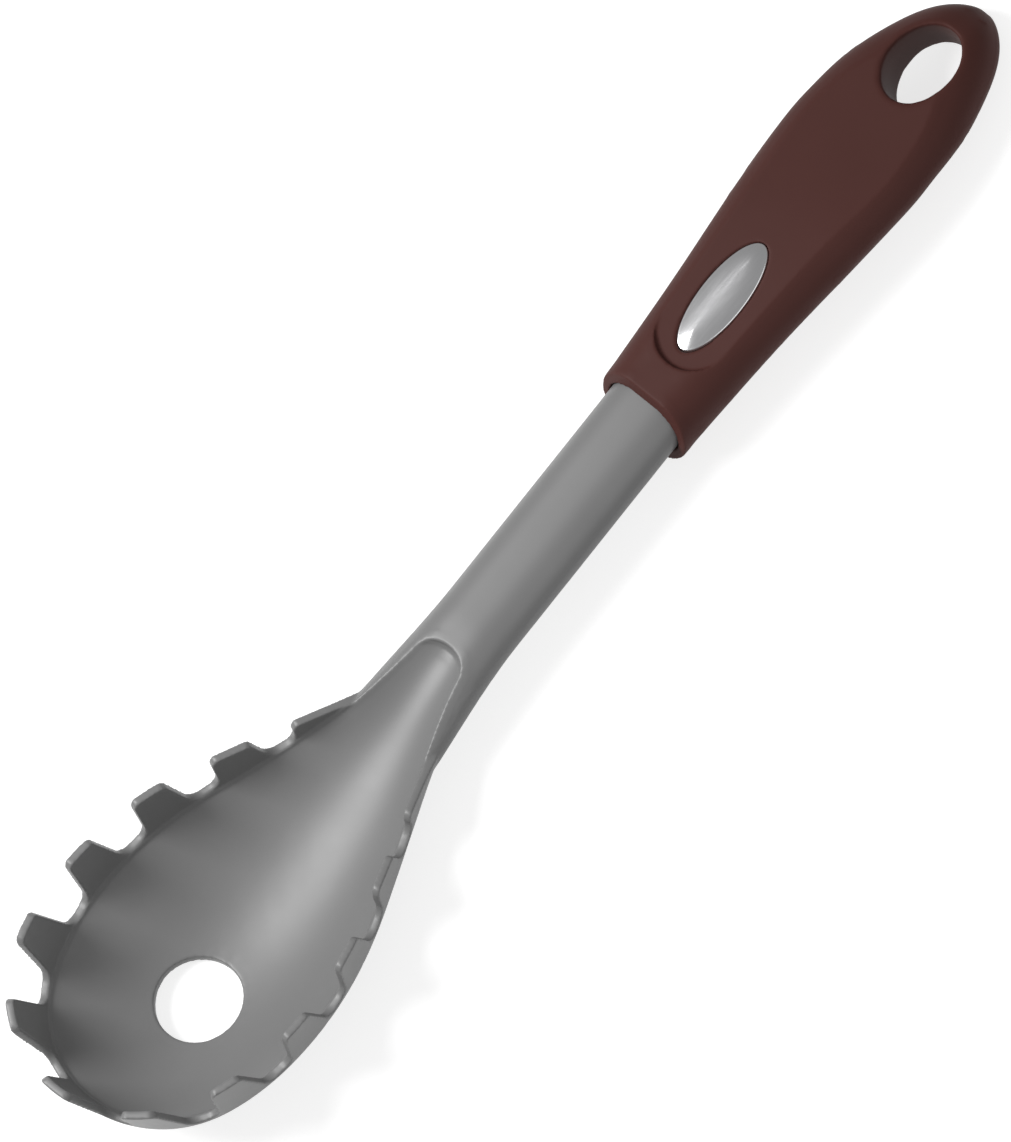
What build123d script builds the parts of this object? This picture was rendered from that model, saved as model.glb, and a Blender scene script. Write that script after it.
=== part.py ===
from build123d import *
from math import cos, radians, sin, sqrt, tan
import os

os.makedirs("parts", exist_ok=True)

# Pasta server lying on its back. +X runs from the bowl's tip to the hang eye, +Z is up,
# and the origin lies on the table under the middle of the tool's length.
# A distance is measured along X from the bowl's tip, a rise from the stem's centre line.

# Whole tool
overall_length = 312.0
stem_height = 13.0
cut_overrun = 20.0
quarter_turn = 90.0

# Bowl and crown of teeth
bowl_length = 129.5
tip_inset = 5.17
tip_turn = 66.0
side_turns = (18.0, 21.0, 6.5)
recess_end_radius = 7.3
dish_radius = 42.0
dish_half_angle = 62.0
floor_thickness = 2.3
wall_thickness = 2.3
crown_rise = 23.5
crown_flare = 7.5
crease_rise = 1.8
ledge_width = 0.4
ledge_rise = 0.5
wall_foot_drop = 16.0
belly_edge_radius = 5.0

# Radii of the crown's outline round the tip, along the side and at the neck, as shares
# of the bowl's length
tip_radius_share = 0.211
side_radius_shares = (0.402, 0.579, 0.772)
neck_radius_share = 0.734

# Dish floor and belly at stations along the bowl, as shares of its length, of the
# crown's rise and of the dish radius
dish_shares = (
    (-0.046, 0.690, 0.881),
    (0.042, 0.183, 0.886),
    (0.130, -0.153, 0.933),
    (0.218, -0.332, 0.976),
    (0.306, -0.417, 1.0),
    (0.394, -0.447, 1.0),
    (0.482, -0.430, 0.967),
    (0.570, -0.379, 0.895),
    (0.658, -0.298, 0.783),
    (0.746, -0.204, 0.602),
    (0.834, -0.098, 0.400),
    (0.922, 0.043, 0.281),
    (1.010, 0.136, 0.238),
    (1.098, 0.200, 0.238),
)
belly_shares = (
    (-0.046, 0.702, 0.881),
    (0.035, 0.191, 0.881),
    (0.092, -0.055, 0.917),
    (0.169, -0.264, 0.952),
    (0.274, -0.394, 1.0),
    (0.400, -0.447, 1.0),
    (0.538, -0.398, 0.921),
    (0.654, -0.306, 0.779),
    (0.767, -0.217, 0.564),
    (0.834, -0.179, 0.421),
    (0.908, -0.153, 0.302),
    (1.008, -0.149, 0.276),
)
# Crown's top line in side view, as shares of the bowl's length and of the crown's rise
crown_shares = (
    (-0.062, 1.009),
    (0.046, 0.991),
    (0.176, 0.923),
    (0.333, 0.770),
    (0.489, 0.626),
    (0.637, 0.413),
    (0.750, 0.226),
    (0.835, 0.055),
    (0.892, -0.089),
)

# Gaps between the teeth, from the tip to the shoulder
gap_pitch_share = 0.1258
gap_width = 7.1
gap_flank_angle = 9.5
gap_corner_radius = 3.2
gap_reach = 8.0
gap_floor_shares = (0.272, 0.213, 0.136, 0.102, 0.040, 0.002)
tooth_corner_radius = 2.4
tooth_corner_clearance = 0.15
tooth_shelf = 2.8
tooth_shelf_rise = 0.25

# Drain hole
drain_radius = 10.0
drain_place_share = 0.275
drain_rise_share = -0.417
drain_tilt = 8.0
drain_cut_depth = 12.0

# Stem, with the stations of its root as shares of the root's length, of half the stem's
# width, of its thickness for the top and bottom, and of the flat part of the top
root_overlap = 31.5
root_length = 42.0
stem_width = 20.3
stem_thickness = 11.7
shoulder_inset = 7.0
stem_shares = (
    (0.0, 1.300, 0.330, -0.50, 0.45),
    (0.17, 1.265, 0.270, -0.50, 0.45),
    (0.34, 1.200, 0.300, -0.50, 0.45),
    (0.51, 1.130, 0.380, -0.50, 0.42),
    (0.68, 1.065, 0.450, -0.50, 0.36),
    (0.84, 1.020, 0.490, -0.50, 0.27),
    (1.0, 1.0, 0.500, -0.500, 0.20),
)

# Tang
tang_width = 15.0
tang_thickness = 6.0
tang_run_share = 0.405
tang_hole_radius = 3.0
tang_hole_count = 2

# Handle, with its stations from the mouth to the end as shares of the handle's length,
# of half its width and, for the top, bottom and widest line, of its thickness
mouth_distance = 196.0
mouth_slant = 27.0
handle_width = 36.2
handle_thickness = 17.8
skin_thickness = 2.2
stem_clearance = 0.25
handle_flat_share = 0.30
handle_shares = (
    (-0.086, 0.685, 0.500, -0.489, -0.028),
    (0.0, 0.696, 0.500, -0.489, -0.017),
    (0.078, 0.724, 0.500, -0.483, 0.0),
    (0.207, 0.779, 0.500, -0.472, 0.022),
    (0.336, 0.851, 0.500, -0.483, 0.045),
    (0.466, 0.934, 0.478, -0.522, 0.045),
    (0.569, 0.983, 0.438, -0.573, 0.022),
    (0.655, 1.0, 0.388, -0.624, -0.017),
    (0.741, 0.967, 0.320, -0.674, -0.090),
    (0.819, 0.878, 0.236, -0.713, -0.191),
    (0.888, 0.729, 0.129, -0.730, -0.292),
    (0.940, 0.564, 0.006, -0.713, -0.376),
    (0.976, 0.365, -0.146, -0.674, -0.438),
    (0.994, 0.188, -0.298, -0.618, -0.478),
    (1.0, 0.077, -0.416, -0.562, -0.494),
)
core_stations = 13

# Thumb panel, sunk into the handle's top, with its line in side view as shares of the
# handle's length and thickness
panel_depth = 1.2
panel_front_radius = 9.25
panel_front_share = 0.19
panel_shares = (
    (0.0, 0.433),
    (0.20, 0.433),
    (0.40, 0.433),
    (0.48, 0.412),
    (0.569, 0.362),
    (0.655, 0.310),
    (0.741, 0.262),
    (0.819, 0.218),
    (0.888, 0.170),
)

# Badge
badge_length = 29.3
badge_width = 11.0
badge_thickness = 2.4
badge_edge_radius = 0.9
badge_place_share = 0.271
badge_recess = 1.5
badge_gap = 0.2
stud_radius = 1.4
stud_length = 2.4
stud_spacing = 15.0
stud_count = 2

# Hang eye
eye_length = 20.2
eye_width = 15.5
eye_inset = 18.2
eye_drop = 4.6
eye_tilt = 5.8
eye_rim_thickness = 1.8


def along(distance):
    """X of a place at this distance from the bowl's tip."""
    return distance - overall_length / 2


def height(rise):
    """Z of a place at this rise above the stem's centre line."""
    return stem_height + rise


def half_outline(margin):
    """Arcs of one half of the crown's crease line, this margin outside it."""
    tip_radius = bowl_length * tip_radius_share
    tip_centre = along(tip_inset) + tip_radius
    end_radius = recess_end_radius + margin
    end_centre = Vector(along(bowl_length) - recess_end_radius, 0)
    edges = [
        JernArc(
            start=(tip_centre - tip_radius - margin, 0),
            tangent=(0, 1),
            radius=tip_radius + margin,
            arc_size=-tip_turn,
        )
    ]
    for radius_share, turn in zip(side_radius_shares, side_turns):
        last = edges[-1]
        radius = bowl_length * radius_share + margin
        edges.append(JernArc(start=last @ 1, tangent=last % 1, radius=radius, arc_size=-turn))
    corner = edges[-1] @ 1
    run = edges[-1] % 1
    inward = Vector(-run.Y, run.X)
    bend = bowl_length * neck_radius_share - margin
    offset_line = corner + inward * bend - end_centre
    advance = -offset_line.dot(run)
    advance -= sqrt(advance**2 - offset_line.length**2 + (bend + end_radius) ** 2)
    neck_start = corner + run * advance
    neck_centre = neck_start + inward * bend
    touch = end_centre + (neck_centre - end_centre).normalized() * end_radius
    end = end_centre + Vector(end_radius, 0)
    neck_middle = neck_centre + ((neck_start + touch) / 2 - neck_centre).normalized() * bend
    end_middle = end_centre + ((touch + end) / 2 - end_centre).normalized() * end_radius
    edges.append(Line(corner, neck_start))
    edges.append(ThreePointArc(neck_start, neck_middle, touch))
    edges.append(ThreePointArc(touch, end_middle, end))
    return edges


def crown_top(place):
    """Rise and slope of the crown's top line at this X."""
    share = (place - along(0)) / bowl_length
    for (start, start_rise), (end, end_rise) in zip(crown_shares, crown_shares[1:]):
        if share <= end:
            break
    slope = (end_rise - start_rise) / (end - start)
    return crown_rise * (start_rise + slope * (share - start)), crown_rise * slope / bowl_length


def on_corner(point, corners):
    """True for a sketch point that is one of the two tooth corners."""
    near = tooth_corner_clearance
    return any(abs(point.X - x) < near and abs(point.Y - y) < near for x, y in (corners[0], corners[3]))


def flared_prism(margin):
    """Flared solid whose side is this margin outside the crown's inner face."""
    lean = tan(radians(crown_flare))
    edges = half_outline(margin - (wall_foot_drop + crease_rise) * lean)
    with BuildPart() as prism:
        with BuildSketch(Plane.XY.offset(height(-wall_foot_drop))):
            with BuildLine():
                add(edges)
                mirror(about=Plane.XZ)
            make_face()
        extrude(amount=wall_foot_drop + crown_rise + cut_overrun, taper=-crown_flare)
    return prism.part


def trough(shares, sink):
    """Loft along the bowl with an arc for its floor, sunk by the floor's thickness."""
    half_angle = radians(dish_half_angle)
    lid = height(crown_rise + cut_overrun)
    with BuildPart() as hollow:
        for distance_share, rise_share, radius_share in shares:
            radius = dish_radius * radius_share + sink
            low = height(crown_rise * rise_share) - sink
            high = low + radius * (1 - cos(half_angle))
            side = radius * sin(half_angle)
            with BuildSketch(Plane.YZ.offset(along(bowl_length * distance_share))):
                with BuildLine():
                    ThreePointArc((-side, high), (0, low), (side, high))
                    Polyline((side, high), (side, lid), (-side, lid), (-side, high))
                make_face()
        loft()
    return hollow.part


def oval(half_width, top, bottom, widest, flat_share):
    """Section with a partly flat top, round sides and an elliptical underside."""
    flat = half_width * flat_share
    level = height(widest)
    side = half_width - flat
    return [
        EllipticalCenterArc((flat, level), side, top - widest, start_angle=0, arc_size=quarter_turn),
        Line((flat, height(top)), (-flat, height(top))),
        EllipticalCenterArc((-flat, level), side, top - widest, start_angle=quarter_turn, arc_size=quarter_turn),
        EllipticalCenterArc(
            (0, level),
            half_width,
            widest - bottom,
            start_angle=2 * quarter_turn,
            arc_size=2 * quarter_turn,
        ),
    ]


def stem_bar():
    """Stem that widens into the bowl at its root and runs straight to the shoulder."""
    start = along(bowl_length) - root_overlap
    with BuildPart() as rod:
        for run_share, width_share, top_share, bottom_share, flat_share in stem_shares:
            with BuildSketch(Plane.YZ.offset(start + root_length * run_share)):
                with BuildLine():
                    oval(
                        stem_width / 2 * width_share,
                        stem_thickness * top_share,
                        stem_thickness * bottom_share,
                        stem_thickness * (top_share + bottom_share) / 2,
                        flat_share,
                    )
                make_face()
        loft()
        extrude(rod.faces().sort_by(Axis.X)[-1], amount=shoulder - start - root_length)
    return rod.part


def handle_loft(inset, stations):
    """Handle body through its first stations, this inset smaller all round."""
    with BuildPart() as body:
        for run_share, width_share, top_share, bottom_share, widest_share in handle_shares[:stations]:
            with BuildSketch(Plane.YZ.offset(along(mouth_distance) + handle_length * run_share)):
                with BuildLine():
                    oval(
                        handle_width / 2 * width_share - inset,
                        handle_thickness * top_share - inset,
                        handle_thickness * bottom_share + inset,
                        handle_thickness * widest_share,
                        handle_flat_share,
                    )
                make_face()
        loft()
    return body.part


def eye_prism(margin):
    """Leaning oval bar through the hang eye, this margin larger all round."""
    lean = radians(eye_tilt)
    eye_plane = Plane(
        origin=(along(overall_length) - eye_inset, 0, height(-eye_drop)),
        x_dir=(cos(lean), 0, -sin(lean)),
        z_dir=(sin(lean), 0, cos(lean)),
    )
    with BuildPart() as bar:
        with BuildSketch(eye_plane):
            Ellipse(eye_length / 2 + margin, eye_width / 2 + margin)
        extrude(amount=handle_thickness, both=True)
    return bar.part


def badge_prism(margin, depth):
    """Oval bar of the badge's outline from its seat upwards."""
    with BuildPart() as bar:
        with BuildSketch(Plane.XY.offset(height(badge_seat_rise))):
            with Locations((badge_place, 0)):
                Ellipse(badge_length / 2 + margin, badge_width / 2 + margin)
        extrude(amount=depth)
    return bar.part


handle_length = overall_length - mouth_distance
shoulder = along(mouth_distance + shoulder_inset)
panel_rise = handle_thickness / 2 - panel_depth
badge_seat_rise = panel_rise - badge_recess
badge_place = along(mouth_distance) + handle_length * badge_place_share

# Bowl's cavity, with a narrow ledge where the crown stands back from the dish
dish = trough(dish_shares, 0)
dish_edge = dish.moved(Location((0, 0, ledge_rise)))
with BuildPart() as ledge:
    add(flared_prism(ledge_width))
    add(dish_edge, mode=Mode.INTERSECT)
with BuildPart() as cavity:
    add(flared_prism(0))
    add(dish, mode=Mode.INTERSECT)

# Head: bowl, crown, neck, stem and tang in one moulding
belly = trough(belly_shares, floor_thickness)
wall_block = flared_prism(wall_thickness)
stem = stem_bar()
crown_end = along(bowl_length * crown_shares[-1][0])
outer_path = Wire(half_outline(wall_thickness))
with BuildPart() as head:
    add(wall_block)
    add(belly, mode=Mode.INTERSECT)
    # Crown's side view
    with BuildSketch(Plane.XZ):
        with BuildLine():
            rim = Spline([(along(bowl_length * place), height(crown_rise * rise)) for place, rise in crown_shares])
            foot = height(-wall_foot_drop - cut_overrun)
            Polyline(rim @ 1, (crown_end, foot), ((rim @ 0).X, foot), rim @ 0)
        make_face()
    extrude(amount=dish_radius + cut_overrun, both=True, mode=Mode.INTERSECT)
    # Rounded turn of the wall into the belly
    belly_face = head.faces().sort_by(Axis.Z)[0]
    turn_edges = belly_face.edges().filter_by(lambda edge: edge.center().X < crown_end)
    fillet(turn_edges.filter_by(lambda edge: edge.length > wall_thickness), radius=belly_edge_radius)
    add(stem)
    add(cavity.part, mode=Mode.SUBTRACT)
    add(ledge.part, mode=Mode.SUBTRACT)
    # Gaps between the teeth
    gap_height = crown_rise + cut_overrun
    gap_pitch = outer_path.length * gap_pitch_share
    foot_half = gap_width / 2
    flank = tan(radians(gap_flank_angle))
    for index, floor_share in enumerate(gap_floor_shares):
        place = (index + 0.5) * gap_pitch
        spot = outer_path.position_at(place, position_mode=PositionMode.LENGTH)
        run = outer_path.tangent_at(place, position_mode=PositionMode.LENGTH)
        for side in (1, -1):
            outward = Vector(-run.Y, side * run.X)
            gap_plane = Plane(
                origin=(spot.X, side * spot.Y, height(crown_rise * floor_share)),
                x_dir=Vector(0, 0, 1).cross(outward),
                z_dir=outward,
            )
            top_rise, top_slope = crown_top(spot.X)
            rise = top_rise - crown_rise * floor_share + tooth_corner_clearance
            slope = -side * top_slope * run.X
            corners = []
            for way in (1, -1):
                lift = (rise + way * slope * foot_half) / (1 - way * slope * flank)
                corner = foot_half + lift * flank
                shelf = corner + tooth_shelf
                corners.append((way * corner, lift))
                corners.append((way * shelf, rise + way * slope * shelf + tooth_shelf_rise))
                corners.append((way * shelf, gap_height))
            with BuildSketch(gap_plane) as gap:
                Polygon((-foot_half, 0), (foot_half, 0), *corners[:3], *reversed(corners[3:]), align=None)
                ends = gap.vertices().sort_by(Axis.Y)
                fillet(ends[:2], radius=gap_corner_radius)
                ends = gap.vertices().filter_by(lambda point: on_corner(point, corners))
                fillet(ends, radius=tooth_corner_radius)
            extrude(amount=gap_reach, both=True, mode=Mode.SUBTRACT)
    # Drain hole
    lean = radians(drain_tilt)
    drain_plane = Plane(
        origin=(along(bowl_length * drain_place_share), 0, height(crown_rise * drain_rise_share)),
        x_dir=(cos(lean), 0, -sin(lean)),
        z_dir=(sin(lean), 0, cos(lean)),
    )
    with BuildSketch(drain_plane):
        Circle(drain_radius)
    extrude(amount=drain_cut_depth, both=True, mode=Mode.SUBTRACT)
    # Tang with its cross holes
    tang_length = handle_length * tang_run_share
    with BuildSketch(Plane.YZ.offset(shoulder)):
        with Locations((0, stem_height)):
            Rectangle(tang_width, tang_thickness)
    extrude(amount=tang_length)
    with BuildSketch(Plane.XY.offset(stem_height)):
        for index in range(tang_hole_count):
            share = (index + 1) / (tang_hole_count + 1)
            with Locations((shoulder + tang_length * share, 0)):
                Circle(tang_hole_radius)
    extrude(amount=tang_thickness, both=True, mode=Mode.SUBTRACT)
head.part.label = "head"

# Core blank: the rigid inside of the handle before its pockets are cut
core_form = handle_loft(skin_thickness, core_stations)
with BuildPart() as core_blank:
    add(core_form)
    split(bisect_by=Plane.YZ.offset(shoulder), keep=Keep.TOP)
    add(eye_prism(eye_rim_thickness), mode=Mode.SUBTRACT)

# Badge: oval plate with two studs
with BuildPart() as badge:
    add(badge_prism(0, badge_thickness))
    fillet(badge.edges().sort_by(Axis.Z)[-1], radius=badge_edge_radius)
    with BuildSketch(Plane.XY.offset(height(badge_seat_rise))):
        with Locations((badge_place, 0)):
            with GridLocations(stud_spacing, 0, stud_count, 1):
                Circle(stud_radius)
    extrude(amount=-stud_length)
badge.part.label = "badge"

# Handle core, moulded round the tang and through its holes
badge_window = badge_prism(badge_gap, handle_thickness)
with BuildPart() as handle_core:
    add(core_blank.part)
    add(badge_window, mode=Mode.SUBTRACT)
    add(badge.part, mode=Mode.SUBTRACT)
    add(head.part, mode=Mode.SUBTRACT)
handle_core.part.label = "handle_core"

# Hollow of the thumb panel: its dip in side view inside its outline in plan
panel_start = along(mouth_distance) + handle_length * panel_front_share
panel_reach = handle_length * (panel_shares[-1][0] - panel_front_share)
with BuildPart() as panel_cut:
    with BuildSketch(Plane.XZ):
        with BuildLine():
            mouth = along(mouth_distance)
            dip_points = [(mouth + handle_length * run, height(handle_thickness * rise)) for run, rise in panel_shares]
            dip = Spline(dip_points)
            lid = height(handle_thickness)
            Polyline(dip @ 1, ((dip @ 1).X, lid), ((dip @ 0).X, lid), dip @ 0)
        make_face()
    extrude(amount=handle_width, both=True)
    with BuildSketch(Plane.XY.offset(stem_height)):
        with Locations((panel_start, 0)):
            Circle(panel_front_radius)
            Polygon(
                (0, -panel_front_radius),
                (panel_reach, -handle_width),
                (panel_reach, handle_width),
                (0, panel_front_radius),
                align=None,
            )
    extrude(amount=handle_thickness, mode=Mode.INTERSECT)

# Grip: soft skin moulded over the core
handle_form = handle_loft(0, len(handle_shares))
mouth_lean = radians(mouth_slant)
mouth_plane = Plane(
    origin=(along(mouth_distance), 0, stem_height),
    x_dir=(0, 1, 0),
    z_dir=(cos(mouth_lean), 0, -sin(mouth_lean)),
)
with BuildPart() as grip:
    add(handle_form)
    split(bisect_by=mouth_plane, keep=Keep.TOP)
    add(panel_cut.part, mode=Mode.SUBTRACT)
    add(eye_prism(0), mode=Mode.SUBTRACT)
    add(badge_window, mode=Mode.SUBTRACT)
    # Bore that the stem fits
    with BuildSketch(Plane.YZ.offset(shoulder)):
        with BuildLine():
            oval(
                stem_width / 2 + stem_clearance,
                stem_thickness / 2 + stem_clearance,
                -stem_thickness / 2 - stem_clearance,
                0,
                stem_shares[-1][-1],
            )
        make_face()
    extrude(amount=-cut_overrun, mode=Mode.SUBTRACT)
    add(core_blank.part, mode=Mode.SUBTRACT)
grip.part.label = "grip"

export_step(head.part, "parts/head.step")
export_step(handle_core.part, "parts/handle_core.step")
export_step(grip.part, "parts/grip.step")
export_step(badge.part, "parts/badge.step")
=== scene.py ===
from math import cos, pi, radians, sin

import bmesh
import bpy
import numpy as np
from mathutils import Matrix, Vector


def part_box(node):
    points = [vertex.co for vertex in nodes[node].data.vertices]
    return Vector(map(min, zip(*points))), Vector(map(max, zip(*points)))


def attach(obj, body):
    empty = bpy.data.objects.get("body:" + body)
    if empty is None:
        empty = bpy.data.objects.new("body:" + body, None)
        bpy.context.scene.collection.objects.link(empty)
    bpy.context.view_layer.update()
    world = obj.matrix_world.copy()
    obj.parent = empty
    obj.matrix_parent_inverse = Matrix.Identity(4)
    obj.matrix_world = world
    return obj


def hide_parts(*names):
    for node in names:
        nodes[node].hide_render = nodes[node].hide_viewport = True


# A pasta server lying on its back on a white table: grey nylon head, brown soft grip and a
# bright oval badge. Lengths are in metres.

MM = 0.001

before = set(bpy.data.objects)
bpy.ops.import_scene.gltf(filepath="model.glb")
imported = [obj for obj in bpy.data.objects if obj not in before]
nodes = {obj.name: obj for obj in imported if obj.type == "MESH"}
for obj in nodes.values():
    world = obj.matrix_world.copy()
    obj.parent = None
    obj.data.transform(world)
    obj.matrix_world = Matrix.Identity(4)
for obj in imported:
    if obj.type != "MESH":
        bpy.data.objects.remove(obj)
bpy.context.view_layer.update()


# Moulded shells, made from the construction's own walls with the mould's soft edges

SHELL_GRID = 0.3 * MM
WELD_REACH = 0.002 * MM
RELAX_STEP = 0.5
EDGE_PASSES = 8
RIM_PASSES = 70
FACE_PASSES = 160
SHELL_SHARE = 0.3

# Turn between neighbours, as one less its cosine, that still counts as an open face
GENTLE_TURN = 0.0019
EDGE_RINGS = 5

# Hang eye in the tool's frame, and the band about its wall that is softened
EYE_CENTRE = 137.8 * MM
EYE_LENGTH = 20.2 * MM
EYE_WIDTH = 15.5 * MM
EYE_SOFT_BAND = 0.28


def relax(shell, name, passes, group=""):
    """Smoothing of a shell, all over or by a vertex group's weights."""
    smooth = shell.modifiers.new(name, "SMOOTH")
    smooth.vertex_group = group
    smooth.factor = RELAX_STEP
    smooth.iterations = passes


def moulded_shell(name, node, soft_place=None):
    """Copy of a node with an even mesh, small radii at its edges and fair open faces.

    Where soft_place gives a weight above zero, the shell is relaxed further."""
    mesh = nodes[node].data.copy()
    mesh.materials.clear()
    shell = bpy.data.objects.new(name, mesh)
    bpy.context.scene.collection.objects.link(shell)
    weld = shell.modifiers.new("weld", "WELD")
    weld.merge_threshold = WELD_REACH
    remesh = shell.modifiers.new("even_grid", "REMESH")
    remesh.mode = "VOXEL"
    remesh.voxel_size = SHELL_GRID
    remesh.use_smooth_shade = True
    relax(shell, "mould_radius", EDGE_PASSES)
    settle(shell)
    even = shell.vertex_groups.new(name="open_faces")
    even.add(open_faces(shell.data), 1.0, "REPLACE")
    relax(shell, "fair_faces", FACE_PASSES, even.name)
    if soft_place:
        soft = shell.vertex_groups.new(name="soft_rim")
        for vertex in shell.data.vertices:
            weight = soft_place(vertex.co)
            if weight > 0:
                soft.add([vertex.index], weight, "REPLACE")
        relax(shell, "soft_rim", RIM_PASSES, soft.name)
    thin = shell.modifiers.new("thinned", "DECIMATE")
    thin.ratio = SHELL_SHARE
    settle(shell)
    return shell


def open_faces(mesh):
    """Vertices where the surface turns gently, some rings away from every edge and rim."""
    normals = np.empty(len(mesh.vertices) * 3)
    mesh.vertices.foreach_get("normal", normals)
    normals = normals.reshape(-1, 3)
    pairs = np.empty(len(mesh.edges) * 2, dtype=np.int64)
    mesh.edges.foreach_get("vertices", pairs)
    first, second = pairs[0::2], pairs[1::2]
    turn = 1 - (normals[first] * normals[second]).sum(axis=1)
    edge = np.zeros(len(mesh.vertices), dtype=bool)
    edge[first[turn > GENTLE_TURN]] = True
    for _ in range(EDGE_RINGS):
        near = edge[first] | edge[second]
        edge[first[near]] = True
        edge[second[near]] = True
    return np.flatnonzero(~edge).tolist()


def settle(piece):
    """Turn a piece's modifiers into its mesh and shade it smooth."""
    graph = bpy.context.evaluated_depsgraph_get()
    result = bpy.data.meshes.new_from_object(piece.evaluated_get(graph))
    old = piece.data
    piece.modifiers.clear()
    piece.data = result
    result.name = piece.name
    bpy.data.meshes.remove(old)
    result.polygons.foreach_set("use_smooth", [True] * len(result.polygons))
    result.update()


def eye_rim(place):
    """Weight that is full at the hang eye's wall and fades away from it."""
    reach = ((place.x - EYE_CENTRE) / (EYE_LENGTH / 2)) ** 2 + (place.y / (EYE_WIDTH / 2)) ** 2
    return max(0.0, 1 - abs(reach**0.5 - 1) / EYE_SOFT_BAND)


head_shell = moulded_shell("head_shell", "head")
grip_skin = moulded_shell("grip_skin", "grip", eye_rim)


# Badge: a low dome with a rolled rim, whose wall runs down to the ends of its studs

BADGE_RIM_DROP = 0.75 * MM
BADGE_RIM_RADIUS = 0.45 * MM
BADGE_RIM_STEPS = 6
BADGE_RINGS = 24
BADGE_SIDES = 160


def badge_plate():
    """Domed oval plate that fills the badge's place in the grip."""
    low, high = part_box("badge")
    centre_x = (low[0] + high[0]) / 2
    half_length = (high[0] - low[0]) / 2
    half_width = (high[1] - low[1]) / 2
    rim_top = high[2] - BADGE_RIM_DROP
    bm = bmesh.new()
    rings = []

    def ring(inset, z):
        points = []
        for step in range(BADGE_SIDES):
            turn = 2 * pi * step / BADGE_SIDES
            x = centre_x + (half_length - inset) * cos(turn)
            y = (half_width - inset) * sin(turn)
            points.append(bm.verts.new((x, y, z)))
        rings.append(points)

    ring(0, low[2])
    ring(0, rim_top - BADGE_RIM_RADIUS)
    for step in range(BADGE_RIM_STEPS + 1):
        turn = pi / 2 * step / BADGE_RIM_STEPS
        ring(BADGE_RIM_RADIUS * (1 - cos(turn)), rim_top - BADGE_RIM_RADIUS * (1 - sin(turn)))
    for step in range(1, BADGE_RINGS):
        share = step / BADGE_RINGS
        inset = BADGE_RIM_RADIUS + (half_width - BADGE_RIM_RADIUS) * share
        ring(inset, rim_top + BADGE_RIM_DROP * (1 - (1 - share) ** 2))
    for lower, upper in zip(rings, rings[1:]):
        for step in range(BADGE_SIDES):
            nxt = (step + 1) % BADGE_SIDES
            bm.faces.new((lower[step], lower[nxt], upper[nxt], upper[step]))
    bm.faces.new(rings[-1])
    bm.faces.new(list(reversed(rings[0])))
    mesh = bpy.data.meshes.new("badge_plate")
    bm.to_mesh(mesh)
    bm.free()
    mesh.polygons.foreach_set("use_smooth", [True] * len(mesh.polygons))
    plate = bpy.data.objects.new("badge_plate", mesh)
    bpy.context.scene.collection.objects.link(plate)
    return plate


badge = badge_plate()


# Finishes

GRAIN_SIZE = 0.4 * MM
PATCH_SIZE = 18 * MM
GRAIN_DEPTH = 0.02 * MM
GRAIN_STRENGTH = 0.5
GRAIN_DETAIL = 3.0
GRAIN_ROUGHNESS = 0.55
GLOSS_SPREAD = 0.04

NYLON_LIGHT = (0.19, 0.19, 0.19)
NYLON_DARK = (0.17, 0.17, 0.17)
NYLON_ROUGHNESS = 0.42
NYLON_SHINE = 0.5
NYLON_GRAIN = 0.35 * MM

TOUCH_LIGHT = (0.07, 0.022, 0.018)
TOUCH_DARK = (0.062, 0.019, 0.015)
TOUCH_ROUGHNESS = 0.6
TOUCH_SHINE = 0.2
TOUCH_GRAIN = 0.25 * MM

CORE_LIGHT = (0.04, 0.015, 0.012)
CORE_DARK = (0.035, 0.013, 0.01)
CORE_ROUGHNESS = 0.5
CORE_SHINE = 0.4
CORE_GRAIN = 0.3 * MM

BADGE_COLOUR = (0.78, 0.78, 0.79, 1)
BADGE_GLOSS = (0.16, 0.30)
BRUSH_LINES = (200, 9000, 200)
BRUSH_DETAIL = 2.0


def new_group(name, inputs, outputs):
    """Shader group with these sockets, and its two end nodes."""
    group = bpy.data.node_groups.new(name, "ShaderNodeTree")
    for socket, kind, value in inputs:
        made = group.interface.new_socket(name=socket, in_out="INPUT", socket_type=kind)
        made.default_value = value
    for socket, kind in outputs:
        group.interface.new_socket(name=socket, in_out="OUTPUT", socket_type=kind)
    start = group.nodes.new("NodeGroupInput")
    end = group.nodes.new("NodeGroupOutput")
    return group, start, end


def spark_grain():
    """Fine eroded grain of a mould: a height and a mask that vary over the surface."""
    group, start, end = new_group(
        "moulded_grain",
        (("Size", "NodeSocketFloat", GRAIN_SIZE), ("Patch Size", "NodeSocketFloat", PATCH_SIZE)),
        (("Height", "NodeSocketFloat"), ("Patches", "NodeSocketFloat")),
    )
    tree = group.nodes
    link = group.links.new
    place = tree.new("ShaderNodeTexCoord")
    for size, output in (("Size", "Height"), ("Patch Size", "Patches")):
        scale = tree.new("ShaderNodeMath")
        scale.operation = "DIVIDE"
        scale.inputs[0].default_value = 1.0
        noise = tree.new("ShaderNodeTexNoise")
        noise.inputs["Detail"].default_value = GRAIN_DETAIL
        noise.inputs["Roughness"].default_value = GRAIN_ROUGHNESS
        link(start.outputs[size], scale.inputs[1])
        link(place.outputs["Object"], noise.inputs["Vector"])
        link(scale.outputs[0], noise.inputs["Scale"])
        link(noise.outputs["Fac"], end.inputs[output])
    return group


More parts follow.
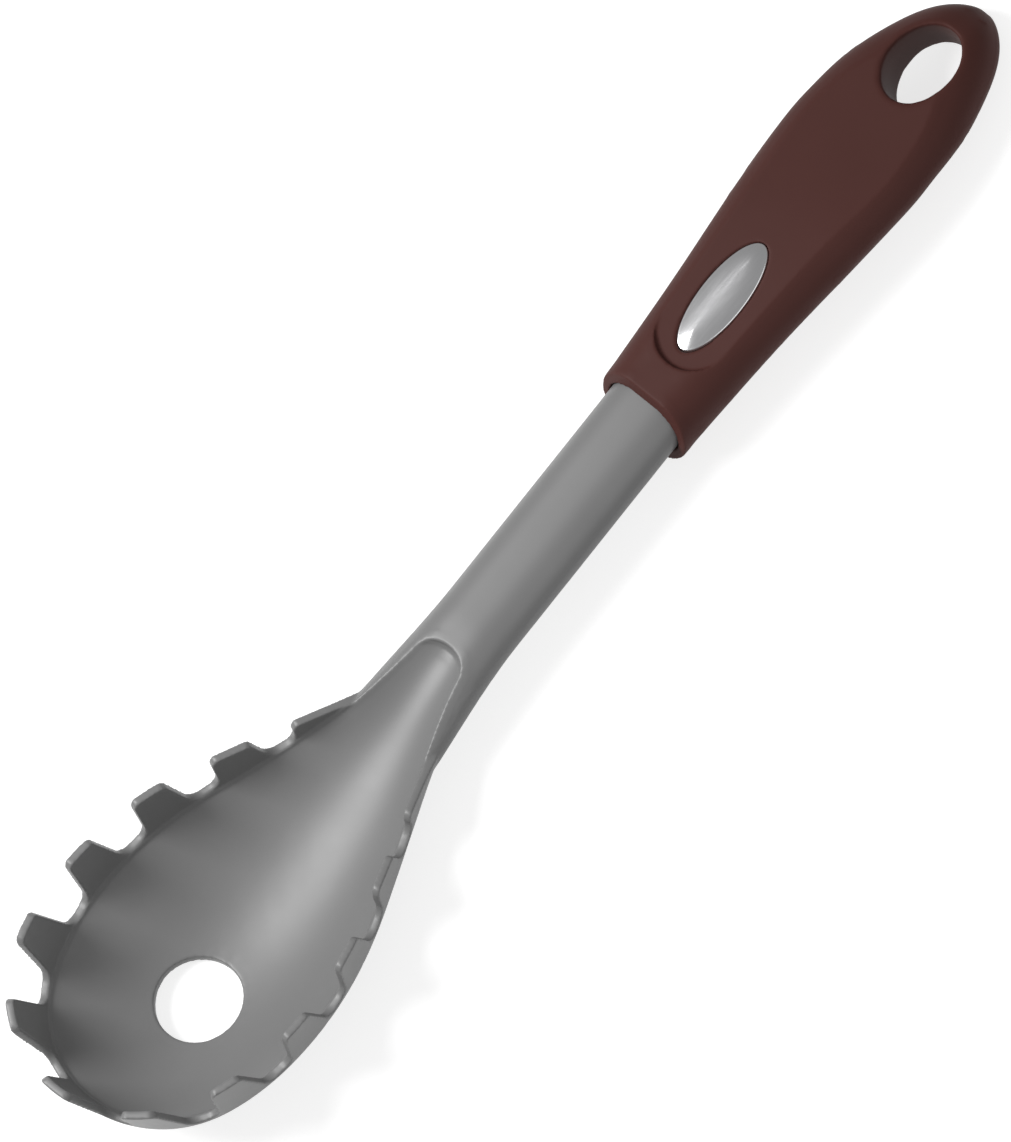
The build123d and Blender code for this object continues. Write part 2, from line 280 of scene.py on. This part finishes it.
def surface(name, light, dark, roughness, shine, grain_size):
    """Moulded plastic: a base colour with faint patches, and the mould's grain."""
    material = bpy.data.materials.new(name)
    material.use_nodes = True
    tree = material.node_tree.nodes
    link = material.node_tree.links.new
    shader = tree["Principled BSDF"]
    shader.inputs["Specular IOR Level"].default_value = shine
    grain = tree.new("ShaderNodeGroup")
    grain.node_tree = GRAIN
    grain.inputs["Size"].default_value = grain_size
    tint = tree.new("ShaderNodeMix")
    tint.data_type = "RGBA"
    tint.inputs["A"].default_value = (*light, 1)
    tint.inputs["B"].default_value = (*dark, 1)
    gloss = tree.new("ShaderNodeMapRange")
    gloss.inputs["To Min"].default_value = roughness - GLOSS_SPREAD
    gloss.inputs["To Max"].default_value = roughness + GLOSS_SPREAD
    bump = tree.new("ShaderNodeBump")
    bump.inputs["Distance"].default_value = GRAIN_DEPTH
    bump.inputs["Strength"].default_value = GRAIN_STRENGTH
    link(grain.outputs["Patches"], tint.inputs["Factor"])
    link(tint.outputs["Result"], shader.inputs["Base Color"])
    link(grain.outputs["Patches"], gloss.inputs["Value"])
    link(gloss.outputs["Result"], shader.inputs["Roughness"])
    link(grain.outputs["Height"], bump.inputs["Height"])
    link(bump.outputs["Normal"], shader.inputs["Normal"])
    return material


def brushed_metal():
    """Bright plated badge with a faint brushing along its length."""
    material = bpy.data.materials.new("bright_badge")
    material.use_nodes = True
    tree = material.node_tree.nodes
    link = material.node_tree.links.new
    shader = tree["Principled BSDF"]
    shader.inputs["Base Color"].default_value = BADGE_COLOUR
    shader.inputs["Metallic"].default_value = 1.0
    place = tree.new("ShaderNodeTexCoord")
    stretch = tree.new("ShaderNodeMapping")
    stretch.inputs["Scale"].default_value = BRUSH_LINES
    noise = tree.new("ShaderNodeTexNoise")
    noise.inputs["Scale"].default_value = 1.0
    noise.inputs["Detail"].default_value = BRUSH_DETAIL
    gloss = tree.new("ShaderNodeMapRange")
    gloss.inputs["To Min"].default_value = BADGE_GLOSS[0]
    gloss.inputs["To Max"].default_value = BADGE_GLOSS[1]
    link(place.outputs["Object"], stretch.inputs["Vector"])
    link(stretch.outputs["Vector"], noise.inputs["Vector"])
    link(noise.outputs["Fac"], gloss.inputs["Value"])
    link(gloss.outputs["Result"], shader.inputs["Roughness"])
    return material


def dress(piece, material):
    """Give a piece one material."""
    piece.data.materials.clear()
    piece.data.materials.append(material)


GRAIN = spark_grain()
nylon = surface("grey_nylon", NYLON_LIGHT, NYLON_DARK, NYLON_ROUGHNESS, NYLON_SHINE, NYLON_GRAIN)
soft_touch = surface(
    "brown_soft_touch", TOUCH_LIGHT, TOUCH_DARK, TOUCH_ROUGHNESS, TOUCH_SHINE, TOUCH_GRAIN
)
core_plastic = surface("brown_core", CORE_LIGHT, CORE_DARK, CORE_ROUGHNESS, CORE_SHINE, CORE_GRAIN)
badge_metal = brushed_metal()

dress(head_shell, nylon)
dress(grip_skin, soft_touch)
dress(badge, badge_metal)
for slot in nodes["handle_core"].material_slots:
    slot.material = core_plastic

for piece, node, slot in (
    (head_shell, "head", "nylon"),
    (grip_skin, "grip", "soft_touch"),
    (badge, "badge", "bright_badge"),
):
    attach(piece, "root")
    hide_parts(node)


# Table, light and camera

OVERALL_LENGTH = 312 * MM
STEM_HEIGHT = 13 * MM
VIEW_TILT = radians(23)
TOOL_TURN_X = 0.6239
TOOL_TURN_Y = 0.7815
PHOTO_WIDTH = 1011
PHOTO_HEIGHT = 1142
PIXELS_PER_METRE = 4570
TIP_ACROSS = -820.83
STEM_DOWN = -763.4
CAMERA_REACH = 1.0
CAMERA_CLIP = 10

TABLE_HALF = 4.0
TABLE_GREY = (0.5, 0.5, 0.5, 1)
TABLE_GLOW = 0.74
SKY_COLOUR = (1, 1, 1, 1)
SKY_STRENGTH = 0.3
LAMP_REACHES = {"key": 0.9, "fill": 1.0}
LAMP_SIZES = {"key": 0.45, "fill": 0.8}
LAMP_POWERS = {"key": 8.5, "fill": 1.8}

# The photograph's own axes, in the tool's frame
along = Vector((1, 0, 0))
aside = Vector((0, cos(VIEW_TILT), sin(VIEW_TILT)))
toward = along.cross(aside)
right = along * TOOL_TURN_X - aside * TOOL_TURN_Y
up = along * TOOL_TURN_Y + aside * TOOL_TURN_X
KEY_WAY = toward * 0.8 - right * 1.2 + up * 0.25
FILL_WAY = toward + right * 0.5 - up * 0.2


def photo_centre():
    """Point of the tool's middle plane that lies at the photograph's centre."""
    half_x = PHOTO_WIDTH / 2
    half_y = PHOTO_HEIGHT / 2
    across = TOOL_TURN_X * half_x - TOOL_TURN_Y * half_y - TIP_ACROSS
    down = -TOOL_TURN_Y * half_x - TOOL_TURN_X * half_y - STEM_DOWN
    stem = Vector((-OVERALL_LENGTH / 2, 0, STEM_HEIGHT))
    return stem + along * (across / PIXELS_PER_METRE) + aside * (down / PIXELS_PER_METRE)


def add_camera():
    """Camera without perspective, square to the photograph's plane."""
    data = bpy.data.cameras.new("camera")
    data.type = "ORTHO"
    data.ortho_scale = PHOTO_HEIGHT / PIXELS_PER_METRE
    data.clip_end = CAMERA_CLIP
    camera = bpy.data.objects.new("camera", data)
    turn = Matrix((right, up, toward)).transposed().to_4x4()
    camera.matrix_world = Matrix.Translation(photo_centre() + toward * CAMERA_REACH) @ turn
    bpy.context.scene.collection.objects.link(camera)
    bpy.context.scene.camera = camera


def add_lamp(name, way):
    """Square soft lamp that looks at the tool from this way."""
    data = bpy.data.lights.new(name, "AREA")
    data.shape = "SQUARE"
    data.size = LAMP_SIZES[name]
    data.energy = LAMP_POWERS[name]
    lamp = bpy.data.objects.new(name, data)
    place = photo_centre() + way.normalized() * LAMP_REACHES[name]
    lamp.matrix_world = Matrix.Translation(place) @ way.to_track_quat("Z", "Y").to_matrix().to_4x4()
    bpy.context.scene.collection.objects.link(lamp)


def add_table():
    """Pale table: white to the camera and to gloss, and darker where the tool shades it."""
    bm = bmesh.new()
    bmesh.ops.create_grid(bm, x_segments=1, y_segments=1, size=TABLE_HALF)
    mesh = bpy.data.meshes.new("table")
    bm.to_mesh(mesh)
    bm.free()
    table = bpy.data.objects.new("table", mesh)
    bpy.context.scene.collection.objects.link(table)
    material = bpy.data.materials.new("white_table")
    material.use_nodes = True
    tree = material.node_tree.nodes
    link = material.node_tree.links.new
    tree.clear()
    out = tree.new("ShaderNodeOutputMaterial")
    matt = tree.new("ShaderNodeBsdfDiffuse")
    matt.inputs["Color"].default_value = TABLE_GREY
    glow = tree.new("ShaderNodeEmission")
    glow.inputs["Strength"].default_value = TABLE_GLOW
    rays = tree.new("ShaderNodeLightPath")
    seen = tree.new("ShaderNodeMath")
    seen.operation = "ADD"
    pick = tree.new("ShaderNodeMixShader")
    both = tree.new("ShaderNodeAddShader")
    link(rays.outputs["Is Camera Ray"], seen.inputs[0])
    link(rays.outputs["Is Glossy Ray"], seen.inputs[1])
    link(matt.outputs[0], both.inputs[0])
    link(glow.outputs[0], both.inputs[1])
    link(seen.outputs[0], pick.inputs[0])
    link(matt.outputs[0], pick.inputs[1])
    link(both.outputs[0], pick.inputs[2])
    link(pick.outputs[0], out.inputs["Surface"])
    mesh.materials.append(material)


def add_world():
    """Even white surroundings."""
    world = bpy.data.worlds.new("studio")
    world.use_nodes = True
    sky = world.node_tree.nodes["Background"]
    sky.inputs["Color"].default_value = SKY_COLOUR
    sky.inputs["Strength"].default_value = SKY_STRENGTH
    bpy.context.scene.world = world


add_camera()
add_table()
add_world()
add_lamp("key", KEY_WAY)
add_lamp("fill", FILL_WAY)
bpy.context.scene.view_settings.view_transform = "Standard"
